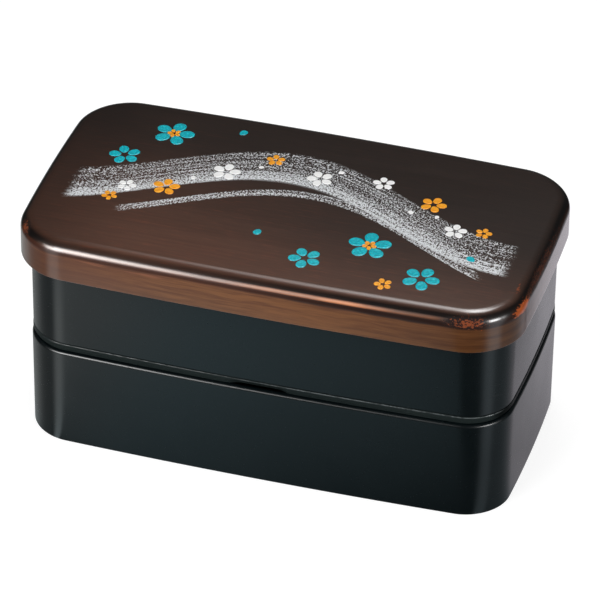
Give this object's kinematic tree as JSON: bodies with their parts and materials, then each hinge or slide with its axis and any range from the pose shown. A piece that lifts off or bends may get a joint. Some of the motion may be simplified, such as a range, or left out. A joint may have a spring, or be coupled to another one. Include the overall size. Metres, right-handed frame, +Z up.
{
  "type": "two-tier lunch box",
  "caption": "Stacked rectangular lunch box with rounded corners: trays closed by gasketed inner lids, loose dividers and a lacquered outer lid over the top.",
  "frame": {"origin": "under the middle of the box, on the surface that it stands on", "axes": "+X along the long sides, +Y from the front long side to the back one, +Z up"},
  "size_m": [0.19, 0.1038, 0.092],
  "materials": {
    "tray": "satin black-green moulded plastic",
    "divider": "matte black-green moulded plastic",
    "inner_lid": "satin dark grey-green moulded plastic",
    "seal": "soft milky silicone",
    "lacquer": "semi-gloss brown lacquer with a wood grain and rubbed orange edges"
  },
  "bodies": {
    "lower_tier": {"lower_tier": "tray"},
    "lower_divider": {"lower_divider": "divider"},
    "lower_inner_lid": {"lower_inner_lid": "inner_lid", "lower_seal_ring": "seal"},
    "upper_tier": {"upper_tier": "tray"},
    "upper_divider": {"upper_divider": "divider"},
    "upper_inner_lid": {"upper_inner_lid": "inner_lid", "upper_seal_ring": "seal"},
    "outer_lid": {"outer_lid": "lacquer"}
  },
  "joints": [
    {"name": "lower_divider_slide", "type": "slide", "parent": "lower_tier", "child": "lower_divider", "axis": [1, 0, 0], "range_m": [-0.02, 0.06]},
    {"name": "lower_inner_lid_lift", "type": "slide", "parent": "lower_tier", "child": "lower_inner_lid", "axis": [0, 0, 1], "range_m": [0, 0.05]},
    {"name": "upper_tier_lift", "type": "slide", "parent": "lower_inner_lid", "child": "upper_tier", "axis": [0, 0, 1], "range_m": [0, 0.05]},
    {"name": "upper_divider_slide", "type": "slide", "parent": "upper_tier", "child": "upper_divider", "axis": [1, 0, 0], "range_m": [-0.06, 0.02]},
    {"name": "upper_inner_lid_lift", "type": "slide", "parent": "upper_tier", "child": "upper_inner_lid", "axis": [0, 0, 1], "range_m": [0, 0.05]},
    {"name": "outer_lid_lift", "type": "slide", "parent": "upper_inner_lid", "child": "outer_lid", "axis": [0, 0, 1], "range_m": [0, 0.05]}
  ]
}
